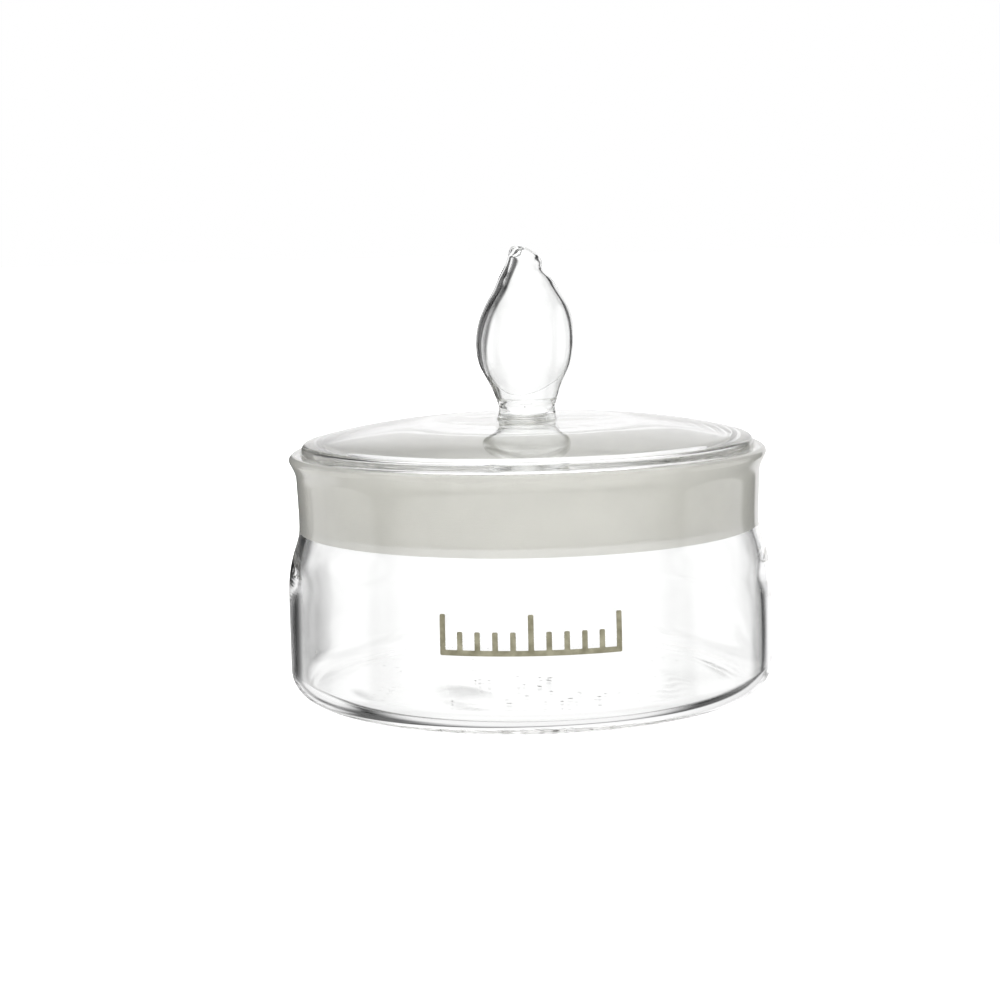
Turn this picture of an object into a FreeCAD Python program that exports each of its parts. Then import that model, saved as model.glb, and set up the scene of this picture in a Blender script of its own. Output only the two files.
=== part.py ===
"""Low-form weighing bottle: a squat glass dish with a ground neck, and its hollow ground-in stopper.

Millimetres, +Z up. The origin is the centre of the face that the bottle stands on, and the front,
which carries the enamel mark, faces -Y. Everything but the mark is a solid of revolution about Z.
"""
import FreeCAD, Part
import math
import os

# Bottle, outside
BODY_RADIUS = 35.0
BOTTLE_HEIGHT = 35.0
BASE_CORNER = 3.8  # radius that rounds the base into the wall
NECK_RADIUS = 33.1  # at the waist under the shoulder
NECK_TOP_RADIUS = 33.45  # where the lip starts to flare
LIP_RADIUS = 34.85
SHOULDER_LOW = 18.7  # heights of the corners that the shoulder's two arcs round
SHOULDER_HIGH = 23.45
LIP_FLARE_START = 32.1

# Bottle, inside
WALL = 1.5
FLOOR = 1.5
FLOOR_CORNER = 2.4

# Neck bore: the diameter of its cone changes by 1 mm in 10 mm of height
CONE_SLOPE = 0.05  # of the radius
CONE_BOTTOM = 23.3
CONE_BOTTOM_RADIUS = 31.965
INNER_SHOULDER = 19.3  # height of the corner that the inner shoulder's arc rounds
CONE_GAP = 0.04  # radial running clearance between the neck and the plug

# Stopper plug
SKIRT_BOTTOM = 24.8
SKIRT_WALL = 1.5
LID_WALL = 1.6
LID_EDGE_HEIGHT = 36.3  # corner between the cone and the domed top
LID_EDGE_ROUND = 0.9
DOME_TOP = 39.2

# Stopper handle
HANDLE_TOP = 64.0
FOOT_RADIUS = 4.25
BELLY_RADIUS = 7.1
BELLY_HEIGHT = 50.4
TIP_RADIUS = 2.6
TIP_HEIGHT = 61.4
STEM_WALL = 0.45
BELLY_WALL = 0.7
SHOULDER_WALL = 0.95
CAVITY_BOTTOM = 39.8
CAVITY_TOP = 62.4

# Enamel mark: a plain scale of ticks on a base line
MARK_CENTRE_HEIGHT = 14.0
MARK_WIDTH = 24.4
MARK_HEIGHT = 5.5
MARK_SHORT_TICK = 3.2
MARK_STROKE = 0.75
MARK_TICKS = 11
MARK_LONG_EVERY = 5
MARK_THICKNESS = 0.05

AXIS_BASE = FreeCAD.Vector(0, 0, 0)
AXIS = FreeCAD.Vector(0, 0, 1)


def point(radius, height):
    return FreeCAD.Vector(radius, 0, height)


def cone_radius(height):
    """Radius of the ground bore at a height."""
    return CONE_BOTTOM_RADIUS + CONE_SLOPE * (height - CONE_BOTTOM)


def rounded_outline(corners):
    """Closed wire through corners of (radius, height, radius of the arc that rounds the corner)."""
    places = [point(r, z) for r, z, _ in corners]
    edges = []
    starts = []
    ends = []
    for i, (_, _, arc_radius) in enumerate(corners):
        here = places[i]
        back = (places[i - 1] - here).normalize()
        ahead = (places[(i + 1) % len(places)] - here).normalize()
        if arc_radius == 0:
            starts.append(here)
            ends.append(here)
            continue
        half_angle = back.getAngle(ahead) / 2
        tangent = arc_radius / math.tan(half_angle)
        to_arc = arc_radius / math.sin(half_angle) - arc_radius
        middle = here + (back + ahead).normalize() * to_arc
        starts.append(here + back * tangent)
        ends.append(here + ahead * tangent)
        edges.append(Part.Arc(starts[-1], middle, ends[-1]).toShape())
    for i, end in enumerate(ends):
        edges.append(Part.LineSegment(end, starts[(i + 1) % len(starts)]).toShape())
    return Part.Wire(Part.__sortEdges__(edges))


def turned(wire):
    """Solid of revolution of a closed wire that lies in the XZ plane."""
    return Part.Face(wire).revolve(AXIS_BASE, AXIS, 360)


def outer_corners(grown=0.0):
    """The bottle's outside from its base to its lip, with every radius larger by grown."""
    return [
        (BODY_RADIUS + grown, 0, BASE_CORNER),
        (BODY_RADIUS + grown, SHOULDER_LOW, 19.4),
        (NECK_RADIUS + grown, SHOULDER_HIGH, 6.0),
        (NECK_TOP_RADIUS + grown, LIP_FLARE_START, 4.0),
        (LIP_RADIUS + grown, BOTTLE_HEIGHT, 0.8),
    ]


def bottle_body():
    inner_radius = BODY_RADIUS - WALL
    inner_corners = [
        (cone_radius(BOTTLE_HEIGHT), BOTTLE_HEIGHT, 0.4),
        (cone_radius(CONE_BOTTOM), CONE_BOTTOM, 7.2),
        (inner_radius, INNER_SHOULDER, 14.0),
        (inner_radius, FLOOR, FLOOR_CORNER),
        (0, FLOOR, 0),
    ]
    return turned(rounded_outline([(0, 0, 0)] + outer_corners() + inner_corners))


def stopper_plug():
    """A cap with a thin domed top and a ground skirt that hangs in the neck."""
    dome_bend = 21.5
    dome_radius = 80.0
    skirt_inner = cone_radius(SKIRT_BOTTOM) - CONE_GAP - SKIRT_WALL
    outside = [
        (cone_radius(SKIRT_BOTTOM) - CONE_GAP, SKIRT_BOTTOM, 0.25),
        (cone_radius(LID_EDGE_HEIGHT) - CONE_GAP, LID_EDGE_HEIGHT, LID_EDGE_ROUND),
        (dome_bend, DOME_TOP, dome_radius),
        (0, DOME_TOP, 0),
    ]
    hollow = [
        (0, DOME_TOP - LID_WALL, 0),
        (dome_bend - 1.0, DOME_TOP - LID_WALL, 60.0),
        (skirt_inner + 0.4, LID_EDGE_HEIGHT - LID_WALL, 2.5),
        (skirt_inner, SKIRT_BOTTOM, 0.5),
    ]
    return turned(rounded_outline(outside + hollow))


def bulb(stations):
    """Solid of revolution inside a smooth curve through (radius, height) from the axis to the axis."""
    curve = Part.BSplineCurve()
    curve.interpolate([point(r, z) for r, z in stations])
    closing = Part.LineSegment(point(*stations[-1]), point(*stations[0])).toShape()
    return turned(Part.Wire([curve.toShape(), closing]))


def stopper_handle(plug):
    """A blown tear on a short hollow stem, sealed at its tip, standing on the plug's dome."""
    foot_depth = 0.6
    outside = [
        (FOOT_RADIUS, DOME_TOP - foot_depth),
        (4.12, 40.8),
        (5.3, 44.3),
        (6.55, 46.9),
        (BELLY_RADIUS, BELLY_HEIGHT),
        (6.75, 53.4),
        (5.4, 56.7),
        (3.7, 59.5),
        (TIP_RADIUS, TIP_HEIGHT),
        (1.9, HANDLE_TOP - 0.9),
        (0, HANDLE_TOP),
    ]
    cavity = [
        (0, CAVITY_BOTTOM),
        (3.0, CAVITY_BOTTOM + 0.35),
        (4.12 - STEM_WALL, 41.0),
        (5.3 - STEM_WALL, 44.3),
        (6.55 - 0.55, 46.9),
        (BELLY_RADIUS - BELLY_WALL, BELLY_HEIGHT),
        (6.75 - 0.85, 53.4),
        (5.4 - SHOULDER_WALL, 56.7),
        (3.7 - SHOULDER_WALL, 59.5),
        (TIP_RADIUS - 0.8, TIP_HEIGHT),
        (0, CAVITY_TOP),
    ]
    curve = Part.BSplineCurve()
    curve.interpolate([point(r, z) for r, z in outside])
    axis_bottom = point(0, DOME_TOP - foot_depth)
    sole = Part.LineSegment(axis_bottom, point(*outside[0])).toShape()
    core = Part.LineSegment(point(*outside[-1]), axis_bottom).toShape()
    solid = turned(Part.Wire([sole, curve.toShape(), core]))
    return solid.cut(plug).cut(bulb(cavity))


def tick(x, low, height):
    """One upright stroke of the mark, as a block that runs back through the front wall."""
    return Part.makeBox(
        MARK_STROKE, BODY_RADIUS, height, FreeCAD.Vector(x - MARK_STROKE / 2, -BODY_RADIUS - 1, low)
    )


def size_mark():
    """Enamel ticks on a base line: a thin layer that follows the bottle's outside."""
    low = MARK_CENTRE_HEIGHT - MARK_HEIGHT / 2
    left = -MARK_WIDTH / 2 + MARK_STROKE / 2
    pitch = (MARK_WIDTH - MARK_STROKE) / (MARK_TICKS - 1)
    strokes = Part.makeBox(
        MARK_WIDTH, BODY_RADIUS, MARK_STROKE, FreeCAD.Vector(-MARK_WIDTH / 2, -BODY_RADIUS - 1, low)
    )
    for i in range(MARK_TICKS):
        height = MARK_HEIGHT if i % MARK_LONG_EVERY == 0 else MARK_SHORT_TICK
        strokes = strokes.fuse(tick(left + i * pitch, low, height))
    core = turned(rounded_outline([(0, 0, 0)] + outer_corners() + [(0, BOTTLE_HEIGHT, 0)]))
    skin = turned(
        rounded_outline([(0, 0, 0)] + outer_corners(MARK_THICKNESS) + [(0, BOTTLE_HEIGHT, 0)])
    )
    return strokes.removeSplitter().common(skin.cut(core))


def main():
    plug = stopper_plug()
    nodes = {
        "bottle_body": bottle_body(),
        "size_mark": size_mark(),
        "stopper_plug": plug,
        "stopper_handle": stopper_handle(plug),
    }
    os.makedirs("parts", exist_ok=True)
    for name, shape in nodes.items():
        box = shape.BoundBox
        print(
            name, shape.ShapeType, "valid", shape.isValid(), "solids", len(shape.Solids),
            "volume %.1f" % shape.Volume, "z %.2f to %.2f" % (box.ZMin, box.ZMax),
        )
        shape.exportStep("parts/" + name + ".step")


main()
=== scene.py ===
"""Looks of a low-form glass weighing bottle with a ground neck and a hollow, blown-handled stopper.

Lengths are worked out in millimetres and turned into metres where a mesh is made (MM). The bottle and the
plug are closed walls of revolution with the small irregularities of blown glass, ground where the stopper
seats. The handle is turned round a slightly bent axis. The studio is a tent of white panels with dark gaps
between them, because clear glass shows only what surrounds it.
"""

import math
import random

import bmesh
import bpy
import numpy as np
from mathutils import Matrix, Vector


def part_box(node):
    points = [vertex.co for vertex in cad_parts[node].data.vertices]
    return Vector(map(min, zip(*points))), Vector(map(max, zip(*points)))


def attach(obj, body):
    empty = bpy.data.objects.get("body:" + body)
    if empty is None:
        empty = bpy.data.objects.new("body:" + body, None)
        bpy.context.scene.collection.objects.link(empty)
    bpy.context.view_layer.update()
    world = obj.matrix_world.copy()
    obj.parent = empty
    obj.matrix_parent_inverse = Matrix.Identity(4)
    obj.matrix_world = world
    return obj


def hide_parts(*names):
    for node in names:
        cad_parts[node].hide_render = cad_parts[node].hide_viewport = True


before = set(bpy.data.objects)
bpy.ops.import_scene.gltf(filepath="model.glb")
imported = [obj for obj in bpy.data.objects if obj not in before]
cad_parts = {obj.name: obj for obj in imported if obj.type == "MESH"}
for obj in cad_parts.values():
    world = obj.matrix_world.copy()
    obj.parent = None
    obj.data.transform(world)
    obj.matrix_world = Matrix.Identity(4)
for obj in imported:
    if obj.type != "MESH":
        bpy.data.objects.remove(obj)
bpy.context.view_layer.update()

MM = 0.001

# Points round a ring, and the longest step along an outline: by an arc's turn, by its length, and straight
SEGMENTS = 288
HANDLE_SEGMENTS = 128
ARC_STEP = math.radians(6)
ARC_LENGTH_STEP = 0.4
LINE_STEP = 0.9

# Sizes that the frame gives
BODY_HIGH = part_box("bottle_body")[1] / MM
PLUG_LOW, PLUG_HIGH = [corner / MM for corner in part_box("stopper_plug")]
MARK_LOW, MARK_HIGH = [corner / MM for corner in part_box("size_mark")]
BODY_RADIUS = BODY_HIGH.x
BOTTLE_HEIGHT = BODY_HIGH.z
DOME_TOP = PLUG_HIGH.z
SKIRT_BOTTOM = PLUG_LOW.z

# Bottle, outside
BASE_CORNER = 3.8
SHOULDER_LOW = 18.7
SHOULDER_HIGH = 23.45
NECK_RADIUS = 33.1
NECK_TOP_RADIUS = 33.45
LIP_FLARE_START = 32.1
LIP_RADIUS = 34.85

# Bottle, inside
WALL = 1.5
FLOOR = 1.5
FLOOR_CORNER = 2.4
INNER_SHOULDER = 19.3

# Ground cone
CONE_SLOPE = 0.05
CONE_BOTTOM = 23.3
CONE_BOTTOM_RADIUS = 31.965
CONE_GAP = 0.04
GRINDING_BOTTOM = 23.9

# What is caught in the bottle's glass
FLOOR_SEEDS = 46
FLOOR_GRAINS = 26
WALL_SEED_RADIUS = 34.2

# Stopper plug
SKIRT_WALL = 1.5
LID_WALL = 1.6
LID_EDGE_HEIGHT = 36.3
LID_EDGE_ROUND = 0.9
DOME_BEND = 21.5
HOLLOW_BEND = 20.5

# Handle
WELD_DEPTH = 0.25
TIP_LEAN = math.tan(math.radians(13.5))
LEAN_START = 58.5
CRINKLE_START = 62.0
FOLD_RADIUS = 0.09
STEM_SEED_FRONT = -3.9

# Enamel mark: a plain scale of ticks on a base line
MARK_STROKE = 0.75
MARK_TICKS = 11
MARK_LONG_EVERY = 5
MARK_SHORT_TICK = 3.2
MARK_THICKNESS = 0.05
MARK_LIFT = 0.003
MARK_BEVEL = 0.035

# Materials
GLASS_IOR = 1.49
CLEAR_TINT = (0.985, 0.99, 0.985)
GROUND_TINT = (0.965, 0.96, 0.895)

# Camera: its lens in millimetres, its place in metres, and its turn, tilt and roll in degrees
CAMERA_LENS = 81.2
CAMERA_PLACE = (0, -0.3244, 0.06956)
CAMERA_TURN = 0.72
CAMERA_TILT = 7.41
CAMERA_ROLL = -1.3

# Lamp over the object, in metres and watts
LAMP_PLACE = (0, -0.2, 1.5)
LAMP_WIDTH = 1.6
LAMP_POWER = 10
BOUNCES = 128

# Tent: levels of its panels, its floor, its roof, its front and the gaps between them
PANEL_LEVEL = 1.04
FLOOR_LEVEL = 0.95
ROOF_LEVEL = 2.2
FRONT_LEVEL = 1.5
TENT_SHADE = 0.04

# Each lit patch of the tent: azimuth from +Y towards +X and elevation of its middle, how far from there it
# fades out and stays full, all in degrees, and its level
TENT = [
    (0, 90, 55, 35, ROOF_LEVEL),
    (0, -90, 46, 30, FLOOR_LEVEL),
    (180, 20, 85, 60, FRONT_LEVEL),
    (8, -3, 23, 18, PANEL_LEVEL),
    (8, 18, 26, 18, PANEL_LEVEL),
    (8, -22, 26, 18, PANEL_LEVEL),
    (-72, 0, 31, 25, PANEL_LEVEL),
    (74, 0, 29, 23, PANEL_LEVEL),
    (135, -15, 38, 6, PANEL_LEVEL),
    (-45, -25, 20, 10, PANEL_LEVEL),
]


# ---------------------------------------------------------------- outlines

def cone_radius(height):
    """Radius of the ground bore at a height."""
    return CONE_BOTTOM_RADIUS + CONE_SLOPE * (height - CONE_BOTTOM)


def rounded(corners):
    """Points along an open path through corners of (radius, height, radius of the arc that rounds it)."""
    places = [np.array(c[:2], float) for c in corners]
    path = [places[0]]
    for i in range(1, len(places)):
        here, arc = places[i], corners[i][2]
        turn = []
        if arc and i < len(places) - 1:
            back = places[i - 1] - here
            ahead = places[i + 1] - here
            back /= np.linalg.norm(back)
            ahead /= np.linalg.norm(ahead)
            half = math.acos(np.clip(back @ ahead, -1, 1)) / 2
            tangent = arc / math.tan(half)
            middle = (back + ahead) / np.linalg.norm(back + ahead)
            centre = here + middle * arc / math.sin(half)
            first = here + back * tangent - centre
            last = here + ahead * tangent - centre
            sweep = math.pi - 2 * half
            steps = max(3, math.ceil(sweep / ARC_STEP), math.ceil(sweep * arc / ARC_LENGTH_STEP))
            for t in np.linspace(0, 1, steps + 1):
                turn.append(
                    centre
                    + (math.sin((1 - t) * sweep) * first + math.sin(t * sweep) * last) / math.sin(sweep)
                )
        else:
            turn.append(here)
        run = turn[0] - path[-1]
        pieces = max(1, math.ceil(np.linalg.norm(run) / LINE_STEP))
        path += [path[-1] + run * k / pieces for k in range(1, pieces)]
        path += turn
    return np.array(path)


def eased(path, low, high):
    """The path with its points between two heights averaged with their neighbours, several times over."""
    rounds = 12
    for _ in range(rounds):
        soft = (path[:-2] + 2 * path[1:-1] + path[2:]) / 4
        inside = (path[1:-1, 1] > low) & (path[1:-1, 1] < high)
        path[1:-1][inside] = soft[inside]
    return path


def smooth_through(stations, steps):
    """A natural cubic through rows of stations, the first column being the parameter."""
    stations = np.array(stations, float)
    t, values = stations[:, 0], stations[:, 1:]
    gap = np.diff(t)
    count = len(t)
    matrix = np.eye(count)
    right = np.zeros_like(values)
    for i in range(1, count - 1):
        matrix[i, i - 1 : i + 2] = gap[i - 1], 2 * (gap[i - 1] + gap[i]), gap[i]
        slope = np.diff(values[i - 1 : i + 2], axis=0) / gap[i - 1 : i + 1, None]
        right[i] = 6 * (slope[1] - slope[0])
    bend = np.linalg.solve(matrix, right)
    wanted = np.linspace(t[0], t[-1], steps)
    k = np.clip(np.searchsorted(t, wanted) - 1, 0, count - 2)
    h = gap[k][:, None]
    a = (t[k + 1] - wanted)[:, None]
    b = (wanted - t[k])[:, None]
    found = (bend[k] * a**3 + bend[k + 1] * b**3) / (6 * h)
    found += (values[k] / h - bend[k] * h / 6) * a + (values[k + 1] / h - bend[k + 1] * h / 6) * b
    return np.column_stack([wanted, found])


# ---------------------------------------------------------------- meshes

class Shell:
    """Vertices and faces of one piece while it is being built, in millimetres."""

    def __init__(self):
        self.points = []
        self.faces = []
        self.slots = []

    def add(self, points, faces, slot=0):
        base = len(self.points)
        self.points += [tuple(p) for p in points]
        self.faces += [tuple(base + i for i in face) for face in faces]
        self.slots += [slot(face) if callable(slot) else slot for face in faces]

    def piece(self, name, materials, body, replaced):
        mesh = bpy.data.meshes.new(name)
        mesh.from_pydata([(x * MM, y * MM, z * MM) for x, y, z in self.points], [], self.faces)
        for material in materials:
            mesh.materials.append(material)
        mesh.polygons.foreach_set("material_index", self.slots)
        mesh.polygons.foreach_set("use_smooth", [True] * len(mesh.polygons))
        mesh.validate()
        made = bpy.data.objects.new(name, mesh)
        bpy.context.scene.collection.objects.link(made)
        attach(made, body)
        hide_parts(replaced)
        return made


def lathe(shell, path, shape, slot_of_ring, segments=SEGMENTS):
    """Turns a path that starts and ends on the axis about Z. shape(angle, radius, height, place along
    the path) moves each ring's points, and slot_of_ring(radius, height) picks the faces' material."""
    angles = np.arange(segments) * math.tau / segments
    rings = path[1:-1]
    points = []
    for k, (radius, height) in enumerate(rings):
        x, y, z = shape(angles, np.full(segments, radius), np.full(segments, height), k)
        points += list(zip(x, y, z))
    ends = []
    for radius, height in (path[0], path[-1]):
        x, y, z = shape(np.zeros(1), np.zeros(1), np.array([height]), 0)
        ends.append(len(points))
        points.append((x[0], y[0], z[0]))
    faces = []
    slots = []
    for j in range(segments):
        after = (j + 1) % segments
        faces.append((ends[0], after, j))
        slots.append(slot_of_ring(*(path[0] + path[1]) / 2))
        last = (len(rings) - 1) * segments
        faces.append((ends[1], last + j, last + after))
        slots.append(slot_of_ring(*(path[-1] + path[-2]) / 2))
    for k in range(len(rings) - 1):
        low, high = k * segments, (k + 1) * segments
        slot = slot_of_ring(*(rings[k] + rings[k + 1]) / 2)
        for j in range(segments):
            after = (j + 1) % segments
            faces.append((low + j, low + after, high + after, high + j))
            slots.append(slot)
    base = len(shell.points)
    shell.points += points
    shell.faces += [tuple(base + i for i in face) for face in faces]
    shell.slots += slots


def add_seed(shell, centre, radii, turn=0.0, slot=0):
    """An air seed: a small closed surface that faces inwards, so that it is a void in the glass. In the
    slot of an opaque material it shows as a grain."""
    ball = bmesh.new()
    bmesh.ops.create_icosphere(ball, subdivisions=2, radius=1.0)
    spin = Matrix.Rotation(turn, 3, "Z")
    wide, deep, tall = radii
    points = [spin @ Vector((v.co.x * wide, v.co.y * deep, v.co.z * tall)) for v in ball.verts]
    faces = [[v.index for v in reversed(face.verts)] for face in ball.faces]
    shell.add([p + Vector(centre) for p in points], faces, slot)
    ball.free()


def add_thread(shell, path, radius, sides=8):
    """A thin glass thread along a path of (x, y, z), round and closed at both ends."""
    ahead = np.gradient(path, axis=0)
    across = np.cross(ahead, (0, 1, 0))
    across /= np.linalg.norm(across, axis=1)[:, None]
    over = np.cross(across, ahead)
    over /= np.linalg.norm(over, axis=1)[:, None]
    points = []
    for centre, u, v in zip(path, across, over):
        for j in range(sides):
            turn = j * math.tau / sides
            points.append(centre + radius * (math.cos(turn) * u + math.sin(turn) * v))
    faces = [list(range(sides)), list(range(len(points) - 1, len(points) - 1 - sides, -1))]
    for k in range(len(path) - 1):
        for j in range(sides):
            low, after = k * sides, (j + 1) % sides
            faces.append([low + j, low + sides + j, low + sides + after, low + after])
    shell.add(points, faces)


def ripple(rng, waves, amplitude):
    """A smooth random function of angle and height, between about -amplitude and amplitude."""
    terms = []
    for _ in range(6):
        turns = rng.randint(1, waves)
        phase = rng.uniform(0, math.tau)
        rise = rng.uniform(0.05, 0.25)
        lift = rng.uniform(0, math.tau)
        terms.append((turns, phase, rise, lift))

    def value(angle, height):
        total = 0
        for turns, phase, rise, lift in terms:
            total = total + np.cos(turns * angle + phase) * np.cos(rise * height + lift)
        return amplitude * total / math.sqrt(len(terms))

    return value


# ---------------------------------------------------------------- materials

def node_material(name):
    material = bpy.data.materials.new(name)
    material.use_nodes = True
    nodes = material.node_tree.nodes
    return material, nodes, material.node_tree.links, nodes["Principled BSDF"]


def noise_height(nodes, links, where, scale, detail, stretch=(1, 1, 1)):
    """A noise texture in the piece's own coordinates, in metres."""
    mapping = nodes.new("ShaderNodeMapping")
    mapping.inputs["Scale"].default_value = stretch
    links.new(where, mapping.inputs["Vector"])
    grain = nodes.new("ShaderNodeTexNoise")
    grain.inputs["Scale"].default_value = scale
    grain.inputs["Detail"].default_value = detail
    links.new(mapping.outputs["Vector"], grain.inputs["Vector"])
    return grain.outputs["Fac"]


def clear_glass(name, tint, wave_scale, wave_height):
    """Fire-polished glass: clear, with the faint waviness of a blown surface."""
    material, nodes, links, shader = node_material(name)
    shader.inputs["Base Color"].default_value = (*tint, 1)
    shader.inputs["Roughness"].default_value = 0.0
    shader.inputs["IOR"].default_value = GLASS_IOR
    shader.inputs["Transmission Weight"].default_value = 1.0
    where = nodes.new("ShaderNodeTexCoord").outputs["Object"]
    wave = noise_height(nodes, links, where, wave_scale, 2.0)
    bump = nodes.new("ShaderNodeBump")
    bump.inputs["Strength"].default_value = 1.0
    bump.inputs["Distance"].default_value = wave_height
    links.new(wave, bump.inputs["Height"])
    links.new(bump.outputs["Normal"], shader.inputs["Normal"])
    return material


def ground_glass(name, tint, clearness):
    """Glass ground with abrasive: a matt frost, slightly cloudy, with fine turning marks."""
    material, nodes, links, shader = node_material(name)
    shader.inputs["IOR"].default_value = GLASS_IOR
    shader.inputs["Transmission Weight"].default_value = clearness
    where = nodes.new("ShaderNodeTexCoord").outputs["Object"]
    cloud = noise_height(nodes, links, where, 240, 4.0)
    colours = nodes.new("ShaderNodeValToRGB")
    colours.color_ramp.elements[0].position = 0.3
    colours.color_ramp.elements[0].color = (*[c * 0.94 for c in tint], 1)
    colours.color_ramp.elements[1].position = 0.7
    colours.color_ramp.elements[1].color = (*tint, 1)
    links.new(cloud, colours.inputs["Fac"])
    links.new(colours.outputs["Color"], shader.inputs["Base Color"])
    roughness = nodes.new("ShaderNodeMapRange")
    roughness.inputs["To Min"].default_value = 0.5
    roughness.inputs["To Max"].default_value = 0.62
    links.new(cloud, roughness.inputs["Value"])
    links.new(roughness.outputs["Result"], shader.inputs["Roughness"])
    grain = noise_height(nodes, links, where, 900, 5.0, stretch=(1, 1, 6))
    bump = nodes.new("ShaderNodeBump")
    bump.inputs["Strength"].default_value = 0.4
    bump.inputs["Distance"].default_value = 0.00004
    links.new(grain, bump.inputs["Height"])
    links.new(bump.outputs["Normal"], shader.inputs["Normal"])
    return material


def fired_enamel():
    """Olive-grey enamel printed on the glass and fired: slightly uneven in cover and gloss."""
    material, nodes, links, shader = node_material("fired_enamel")
    where = nodes.new("ShaderNodeTexCoord").outputs["Object"]
    cover = noise_height(nodes, links, where, 700, 4.0)
    colours = nodes.new("ShaderNodeValToRGB")
    colours.color_ramp.elements[0].position = 0.35
    colours.color_ramp.elements[0].color = (0.10, 0.092, 0.05, 1)
    colours.color_ramp.elements[1].position = 0.68
    colours.color_ramp.elements[1].color = (0.19, 0.18, 0.12, 1)
    links.new(cover, colours.inputs["Fac"])
    links.new(colours.outputs["Color"], shader.inputs["Base Color"])
    gloss = nodes.new("ShaderNodeMapRange")
    gloss.inputs["To Min"].default_value = 0.3
    gloss.inputs["To Max"].default_value = 0.5
    links.new(cover, gloss.inputs["Value"])
    links.new(gloss.outputs["Result"], shader.inputs["Roughness"])
    grain = nodes.new("ShaderNodeBump")
    grain.inputs["Strength"].default_value = 0.5
    grain.inputs["Distance"].default_value = 0.00001
    links.new(cover, grain.inputs["Height"])
    links.new(grain.outputs["Normal"], shader.inputs["Normal"])
    return material


def stone_grain():
    """Tiny grains of furnace stone that were caught in the glass."""
    material, nodes, links, shader = node_material("stone_grain")
    where = nodes.new("ShaderNodeTexCoord").outputs["Object"]
    spots = noise_height(nodes, links, where, 300, 2.0)
    colours = nodes.new("ShaderNodeValToRGB")
    colours.color_ramp.elements[0].color = (0.02, 0.02, 0.015, 1)
    colours.color_ramp.elements[1].color = (0.30, 0.29, 0.26, 1)
    links.new(spots, colours.inputs["Fac"])
    links.new(colours.outputs["Color"], shader.inputs["Base Color"])
    shader.inputs["Roughness"].default_value = 0.8
    return material


def pale_floor():
    material, nodes, links, shader = node_material("pale_floor")
    shader.inputs["Base Color"].default_value = (0.85, 0.85, 0.85, 1)
    shader.inputs["Roughness"].default_value = 0.9
    shader.inputs["Specular IOR Level"].default_value = 0.0
    shader.inputs["Emission Color"].default_value = (1, 1, 1, 1)
    where = nodes.new("ShaderNodeTexCoord").outputs["Object"]
    reach = nodes.new("ShaderNodeVectorMath")
    reach.operation = "LENGTH"
    links.new(where, reach.inputs[0])
    glow = nodes.new("ShaderNodeMapRange")
    glow.inputs["From Min"].default_value = 0.1
    glow.inputs["From Max"].default_value = 0.5
    glow.inputs["To Min"].default_value = 0.75
    glow.inputs["To Max"].default_value = 1.0
    links.new(reach.outputs["Value"], glow.inputs["Value"])
    links.new(glow.outputs["Result"], shader.inputs["Emission Strength"])
    return material


def white_wall():
    material, nodes, links, shader = node_material("white_wall")
    shader.inputs["Base Color"].default_value = (0, 0, 0, 1)
    shader.inputs["Specular IOR Level"].default_value = 0.0
    shader.inputs["Emission Color"].default_value = (1, 1, 1, 1)
    shader.inputs["Emission Strength"].default_value = 1.0
    return material


# ---------------------------------------------------------------- bottle

def bottle_outline():
    """From the middle of the base up the outside, over the lip and down the inside to the middle of the
    floor, which is a little lower in a ring near the wall."""
    inner = BODY_RADIUS - WALL
    path = rounded([
        (0, 0, 0),
        (BODY_RADIUS, 0, BASE_CORNER),
        (BODY_RADIUS, SHOULDER_LOW, 19.4),
        (NECK_RADIUS, SHOULDER_HIGH, 6.0),
        (NECK_TOP_RADIUS, LIP_FLARE_START, 4.0),
        (LIP_RADIUS, BOTTLE_HEIGHT, 0.8),
        (cone_radius(BOTTLE_HEIGHT), BOTTLE_HEIGHT, 0.4),
        (cone_radius(CONE_BOTTOM), CONE_BOTTOM, 7.2),
        (inner, INNER_SHOULDER, 14.0),
        (inner, FLOOR + 0.1, FLOOR_CORNER),
        (27.0, FLOOR - 0.12, 12.0),
        (20.0, FLOOR + 0.05, 25.0),
        (0, FLOOR, 0),
    ])
    return eased(path, low=6.0, high=31.0)


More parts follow.
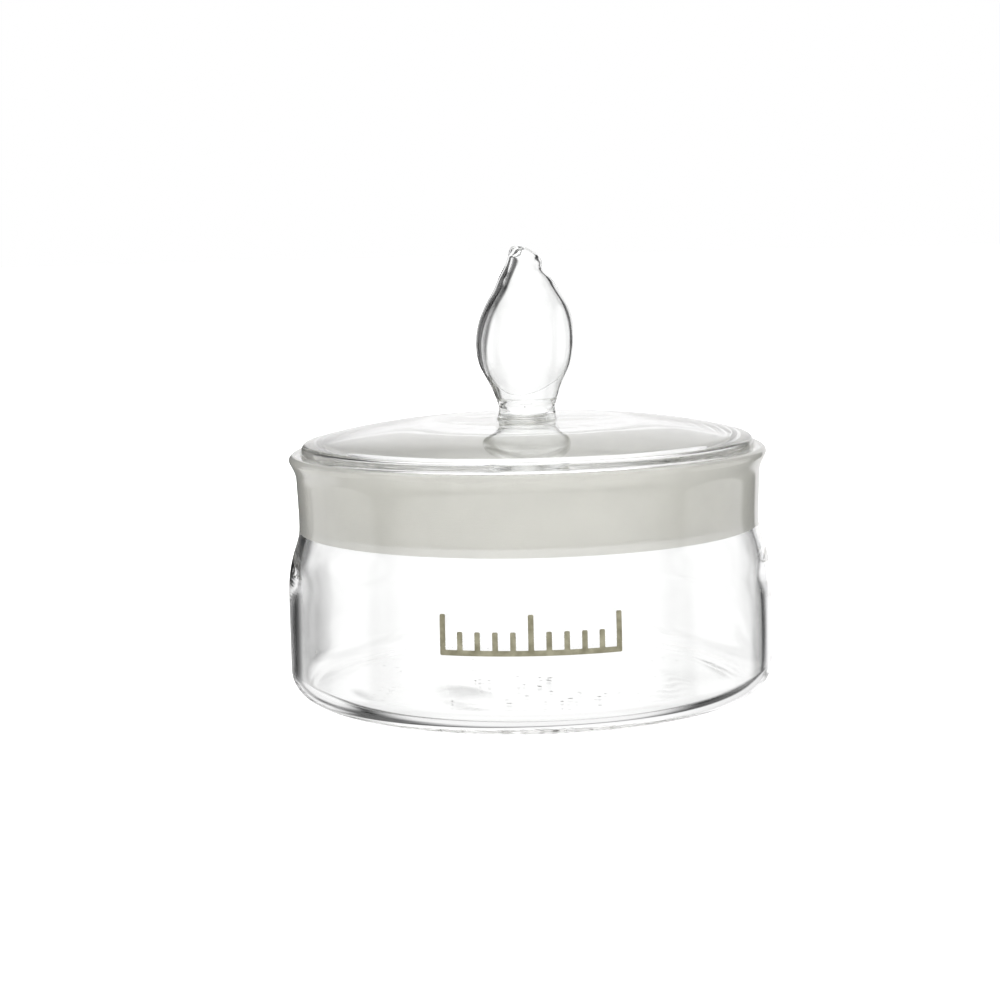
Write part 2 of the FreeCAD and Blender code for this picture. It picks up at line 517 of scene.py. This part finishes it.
def make_bottle(materials):
    """The materials are those of the clear glass, the ground neck and the grains."""
    rng = random.Random(7)
    wave = ripple(rng, 3, 0.05)
    floor_wave = ripple(rng, 3, 0.11)
    path = bottle_outline()
    lip = int(np.argmax(path[:, 1])) - 1

    def shape(angle, radius, height, k):
        upright = np.clip((height - FLOOR) / 3, 0, 1) * (radius > 28)
        inside = k > lip
        moved = radius + (0.6 if inside else -0.2) * wave(angle, height) * upright
        on_floor = inside and height[0] < FLOOR + 0.3
        lift = floor_wave(angle, radius) * on_floor * np.clip(radius / 6, 0, 1)
        return moved * np.cos(angle), moved * np.sin(angle), height + lift

    def slot(radius, height):
        in_bore = radius < 32.7
        ground = in_bore and GRINDING_BOTTOM < height < BOTTLE_HEIGHT - 0.5
        return 1 if ground else 0

    shell = Shell()
    lathe(shell, path, shape, slot)
    for _ in range(FLOOR_SEEDS):
        reach = 26 * math.sqrt(rng.random())
        angle = rng.uniform(0, math.tau)
        size = rng.uniform(0.1, 0.24)
        add_seed(
            shell,
            (reach * math.cos(angle), reach * math.sin(angle), rng.uniform(0.45, 0.95)),
            (size * rng.uniform(1, 1.6), size, size * 0.8),
            rng.uniform(0, math.pi),
        )
    for _ in range(FLOOR_GRAINS):
        reach = rng.uniform(2, 20)
        angle = rng.gauss(-math.pi / 2, 0.8)
        size = rng.uniform(0.11, 0.28)
        place = (reach * math.cos(angle), reach * math.sin(angle), FLOOR - 0.4)
        add_seed(shell, place, (size * rng.uniform(1, 1.8), size, size * 0.8), rng.uniform(0, math.pi), 2)
    for angle, height, size in ((-0.15, 13.6, 0.3), (-0.35, 15.2, 0.2), (-2.6, 9.0, 0.2)):
        place = (WALL_SEED_RADIUS * math.cos(angle), WALL_SEED_RADIUS * math.sin(angle), height)
        add_seed(shell, place, (size, size, size * 1.4), angle)
    return shell.piece("bottle_glass", materials, "bottle", "bottle_body")


# ---------------------------------------------------------------- stopper

def plug_outline():
    """From the middle of the hollow's top down the inside of the skirt, up its ground outside and over the
    lid's edge to the top of the dome."""
    skirt_inner = cone_radius(SKIRT_BOTTOM) - CONE_GAP - SKIRT_WALL
    return rounded([
        (0, DOME_TOP - LID_WALL, 0),
        (HOLLOW_BEND, DOME_TOP - LID_WALL, 60.0),
        (skirt_inner + 0.4, LID_EDGE_HEIGHT - LID_WALL, 2.5),
        (skirt_inner, SKIRT_BOTTOM, 0.5),
        (cone_radius(SKIRT_BOTTOM) - CONE_GAP, SKIRT_BOTTOM, 0.25),
        (cone_radius(LID_EDGE_HEIGHT) - CONE_GAP, LID_EDGE_HEIGHT, LID_EDGE_ROUND),
        (DOME_BEND, DOME_TOP, 80.0),
        (0, DOME_TOP, 0),
    ])


def make_plug(materials):
    """The materials are those of the clear glass and the ground skirt."""
    rng = random.Random(19)
    wave = ripple(rng, 3, 0.05)

    def shape(angle, radius, height, k):
        on_dome = np.clip((height - LID_EDGE_HEIGHT + 1) / 1.5, 0, 1) * np.clip(radius / 8, 0, 1)
        lift = wave(angle, radius) * on_dome
        return radius * np.cos(angle), radius * np.sin(angle), height + lift

    def slot(radius, height):
        on_outside = radius > 31.5
        ground = on_outside and SKIRT_BOTTOM + 0.15 < height < BOTTLE_HEIGHT - 0.2
        return 1 if ground else 0

    shell = Shell()
    lathe(shell, plug_outline(), shape, slot)
    return shell.piece("stopper_glass", materials, "stopper", "stopper_plug")


def make_handle(material):
    """The blown tear: a thin-walled bulb on a hollow stem, with a fold low in the bulb and a tip melted
    off aslant. Its stations are (height, radius), and the axis's are (height, shift towards +X)."""
    rng = random.Random(31)
    crinkle = ripple(rng, 4, 0.07)
    weld = ripple(rng, 3, 0.12)
    shell = Shell()
    sway = smooth_through([
        (38.0, 0.12), (41.9, 0.12), (45.0, 0.02), (49.4, 0.0), (52.7, 0.17), (56.2, 0.37),
        (58.6, 0.28), (60.3, 0.12), (61.5, 0.2), (62.3, 0.33), (62.9, 0.25), (63.4, 0.0), (64.0, -0.3),
    ], 260)

    def stack(path, offset, inward, unevenness):
        """Turns (radius, height) round the swaying axis. The tip's rings lean over to +X and are
        crinkled, and the foot is uneven where it was welded on."""

        def shape(angle, radius, height, k):
            centre = np.interp(height, sway[:, 0], sway[:, 1]) + offset
            tip = np.clip((height - LEAN_START) / 3.0, 0, 1) ** 2
            sideways = radius * np.cos(angle)
            lift = crinkle(angle, 4 * height) * np.clip((height - CRINKLE_START) / 0.8, 0, 1)
            lift = lift + weld(angle, radius) * (height < DOME_TOP + 0.8) * (radius < 3.6)
            lift = lift * unevenness
            return centre + sideways, radius * np.sin(angle), height - TIP_LEAN * tip * sideways + lift

        lathe(shell, path[::-1] if inward else path, shape, lambda r, z: 0, segments=HANDLE_SEGMENTS)

    def column(stations, bottom, top):
        """The path from the axis at the bottom through the stations to the axis at the top."""
        rings = smooth_through(stations, 120)
        return np.array([(0, bottom)] + [(r, z) for z, r in rings] + [(0, top)])

    outside = column([
        (DOME_TOP - WELD_DEPTH, 4.5),
        (DOME_TOP + 0.5, 4.2),
        (40.75, 4.1),
        (41.9, 4.38),
        (43.05, 4.8),
        (44.2, 5.27),
        (46.5, 6.42),
        (48.8, 7.0),
        (51.1, 7.08),
        (53.4, 6.76),
        (55.7, 5.9),
        (58.0, 4.6),
        (59.2, 3.92),
        (60.1, 3.3),
        (60.9, 2.8),
        (61.6, 2.55),
        (62.3, 2.4),
        (62.9, 2.2),
        (63.4, 1.7),
        (63.75, 1.0),
        (63.85, 0.5),
    ], DOME_TOP - WELD_DEPTH, 63.9)
    inside = column([
        (DOME_TOP + 0.2, 3.0),
        (DOME_TOP + 0.4, 3.6),
        (40.75, 3.7),
        (41.9, 3.95),
        (43.05, 4.35),
        (44.2, 4.8),
        (46.5, 5.88),
        (48.8, 6.36),
        (51.1, 6.35),
        (53.4, 5.92),
        (55.7, 4.98),
        (58.0, 3.62),
        (59.2, 2.95),
        (60.2, 2.3),
        (61.3, 1.9),
        (62.1, 1.75),
        (62.6, 1.4),
        (62.9, 0.9),
        (63.0, 0.5),
    ], DOME_TOP + 0.15, 63.05)
    stack(outside, offset=0.0, inward=False, unevenness=1.0)
    stack(inside, offset=0.08, inward=True, unevenness=0.5)
    fold = smooth_through([
        (-4.6, -2.3, 45.1), (-3.2, -3.2, 43.7), (-1.7, -3.95, 42.95), (0.0, -4.35, 43.0),
        (2.2, -4.2, 43.7), (4.2, -3.1, 44.9), (5.6, -0.9, 46.1),
    ], 60)
    add_thread(shell, fold, FOLD_RADIUS)
    for x, z, size in ((-0.2, 41.2, 0.1), (0.7, 41.7, 0.07), (-2.4, 40.6, 0.09)):
        add_seed(shell, (x, STEM_SEED_FRONT, z), (size, size, size))
    return shell.piece("handle_glass", [material], "stopper", "stopper_handle")


# ---------------------------------------------------------------- mark

def make_mark(material):
    """Enamel ticks on a base line, lying on the bottle's outside."""
    width = MARK_HIGH.x - MARK_LOW.x
    low = MARK_LOW.z
    high = MARK_HIGH.z
    stroke = MARK_STROKE
    pitch = (width - stroke) / (MARK_TICKS - 1)
    corners = [(width / 2, low, 0.2)]
    for i in reversed(range(MARK_TICKS)):
        centre = -width / 2 + stroke / 2 + i * pitch
        top = high if i % MARK_LONG_EVERY == 0 else low + MARK_SHORT_TICK
        if i < MARK_TICKS - 1:
            corners.append((centre + stroke / 2, low + stroke, 0.1))
        corners += [(centre + stroke / 2, top, 0.2), (centre - stroke / 2, top, 0.2)]
        if i > 0:
            corners.append((centre - stroke / 2, low + stroke, 0.1))
    corners.append((-width / 2, low, 0.2))
    loop = rounded([(0, low, 0)] + corners + [(0, low, 0)])[:-1]
    sheet = bmesh.new()
    ring = [sheet.verts.new((x, 0, z)) for x, z in loop]
    sheet.faces.new(ring)

    def cut(place, across):
        """Divides the faces along a plane, so that the flat sheet can follow the round wall."""
        parts = sheet.verts[:] + sheet.edges[:] + sheet.faces[:]
        bmesh.ops.bisect_plane(sheet, geom=parts, plane_co=place, plane_no=across)

    for x in np.arange(-width / 2, width / 2, 0.6):
        cut((x, 0, 0), (1, 0, 0))
    for z in (low + stroke, low + stroke + 1.2, low + MARK_SHORT_TICK, high - 1):
        cut((0, 0, z), (0, 0, 1))
    grown = bmesh.ops.extrude_face_region(sheet, geom=sheet.faces[:])
    top = [v for v in grown["geom"] if isinstance(v, bmesh.types.BMVert)]
    for v in top:
        v.co.y = -MARK_THICKNESS
    bmesh.ops.recalc_face_normals(sheet, faces=sheet.faces[:])
    rim = [
        e for e in sheet.edges
        if all(abs(v.co.y + MARK_THICKNESS) < 1e-6 for v in e.verts) and e.calc_face_angle(0) > 1
    ]
    bmesh.ops.bevel(sheet, geom=rim, offset=MARK_BEVEL, segments=2, profile=0.5, affect="EDGES")
    outline = bottle_outline()
    outside = outline[: np.argmax(outline[:, 1] > 30)]
    for v in sheet.verts:
        radius = np.interp(v.co.z, outside[:, 1], outside[:, 0]) + MARK_LIFT - v.co.y
        angle = -math.pi / 2 + v.co.x / BODY_RADIUS
        v.co.x, v.co.y = radius * math.cos(angle), radius * math.sin(angle)
    bmesh.ops.triangulate(sheet, faces=[f for f in sheet.faces if len(f.verts) > 4])
    shell = Shell()
    sheet.verts.index_update()
    shell.add([v.co[:] for v in sheet.verts], [[v.index for v in f.verts] for f in sheet.faces])
    sheet.free()
    made = shell.piece("enamel_mark", [material], "bottle", "size_mark")
    made.data.polygons.foreach_set("use_smooth", [False] * len(made.data.polygons))
    return made


# ---------------------------------------------------------------- studio

def make_camera():
    camera = bpy.data.objects.new("camera", bpy.data.cameras.new("camera"))
    camera.data.lens = CAMERA_LENS
    camera.data.sensor_width = 36.0
    camera.data.clip_start = 0.01
    turn = Matrix.Rotation(math.radians(CAMERA_TURN), 4, "Z")
    tilt = Matrix.Rotation(math.radians(90 - CAMERA_TILT), 4, "X")
    roll = Matrix.Rotation(math.radians(CAMERA_ROLL), 4, "Z")
    camera.matrix_world = Matrix.Translation(CAMERA_PLACE) @ turn @ tilt @ roll
    bpy.context.scene.collection.objects.link(camera)
    bpy.context.scene.camera = camera


def make_stage():
    """A white sweep, drawn as a floor and a far wall of the same evenly lit white. The glass neither shows
    nor mirrors it: the tent is what it shows."""
    grid = bmesh.new()
    bmesh.ops.create_grid(grid, x_segments=8, y_segments=8, size=3.0)
    mesh = bpy.data.meshes.new("floor")
    grid.to_mesh(mesh)
    grid.free()
    floor = bpy.data.objects.new("floor", mesh)
    floor.location.z = -0.00002
    mesh.materials.append(pale_floor())
    dome = bmesh.new()
    bmesh.ops.create_icosphere(dome, subdivisions=4, radius=2.9)
    for face in dome.faces:
        face.normal_flip()
    mesh = bpy.data.meshes.new("far_wall")
    dome.to_mesh(mesh)
    dome.free()
    far_wall = bpy.data.objects.new("far_wall", mesh)
    mesh.materials.append(white_wall())
    for stage in (floor, far_wall):
        bpy.context.scene.collection.objects.link(stage)
        stage.visible_transmission = False
        stage.visible_glossy = False
    far_wall.visible_diffuse = False
    far_wall.visible_shadow = False


def make_tent():
    """The world: white patches where TENT says, which fade into darkness between them."""
    world = bpy.data.worlds.new("tent")
    bpy.context.scene.world = world
    world.use_nodes = True
    nodes, links = world.node_tree.nodes, world.node_tree.links
    direction = nodes.new("ShaderNodeTexCoord").outputs["Generated"]

    def toward(azimuth, elevation):
        """Cosine of the angle between a ray and a direction given in degrees."""
        a, e = math.radians(azimuth), math.radians(elevation)
        node = nodes.new("ShaderNodeVectorMath")
        node.operation = "DOT_PRODUCT"
        links.new(direction, node.inputs[0])
        node.inputs[1].default_value = (math.sin(a) * math.cos(e), math.cos(a) * math.cos(e), math.sin(e))
        return node.outputs["Value"]

    def fade(value, edge, middle, level):
        """TENT_SHADE up to edge degrees off, level within middle degrees, smooth in between."""
        step = nodes.new("ShaderNodeMapRange")
        step.interpolation_type = "SMOOTHSTEP"
        step.inputs["From Min"].default_value = math.cos(math.radians(edge))
        step.inputs["From Max"].default_value = math.cos(math.radians(middle))
        step.inputs["To Min"].default_value = TENT_SHADE
        step.inputs["To Max"].default_value = level
        links.new(value, step.inputs["Value"])
        return step.outputs["Result"]

    def brighter(first, second):
        node = nodes.new("ShaderNodeMath")
        node.operation = "MAXIMUM"
        links.new(first, node.inputs[0])
        links.new(second, node.inputs[1])
        return node.outputs[0]

    strength, *others = [
        fade(toward(azimuth, elevation), edge, middle, level)
        for azimuth, elevation, edge, middle, level in TENT
    ]
    for patch in others:
        strength = brighter(strength, patch)
    links.new(strength, nodes["Background"].inputs["Strength"])
    nodes["Background"].inputs["Color"].default_value = (1.0, 0.995, 1.0, 1)


def make_lamp():
    """A wide soft lamp overhead for the enamel, the frost and the floor."""
    lamp = bpy.data.lights.new("overhead", "AREA")
    lamp.shape = "DISK"
    lamp.size = LAMP_WIDTH
    lamp.energy = LAMP_POWER
    softbox = bpy.data.objects.new("overhead", lamp)
    softbox.location = LAMP_PLACE
    softbox.rotation_euler = (-Vector(LAMP_PLACE)).to_track_quat("-Z", "Y").to_euler()
    softbox.visible_glossy = False
    softbox.visible_transmission = False
    bpy.context.scene.collection.objects.link(softbox)


def main():
    scene = bpy.context.scene
    scene.view_settings.view_transform = "Standard"
    scene.cycles.use_denoising = True
    scene.cycles.max_bounces = BOUNCES
    scene.cycles.transmission_bounces = BOUNCES
    scene.cycles.glossy_bounces = BOUNCES
    make_camera()
    make_stage()
    make_tent()
    make_lamp()
    clear = clear_glass("clear_glass", CLEAR_TINT, wave_scale=60, wave_height=0.00002)
    make_bottle([clear, ground_glass("ground_neck", GROUND_TINT, clearness=0.35), stone_grain()])
    make_plug([clear, ground_glass("ground_skirt", GROUND_TINT, clearness=0.6)])
    make_handle(clear_glass("blown_glass", CLEAR_TINT, wave_scale=160, wave_height=0.00004))
    make_mark(fired_enamel())


main()
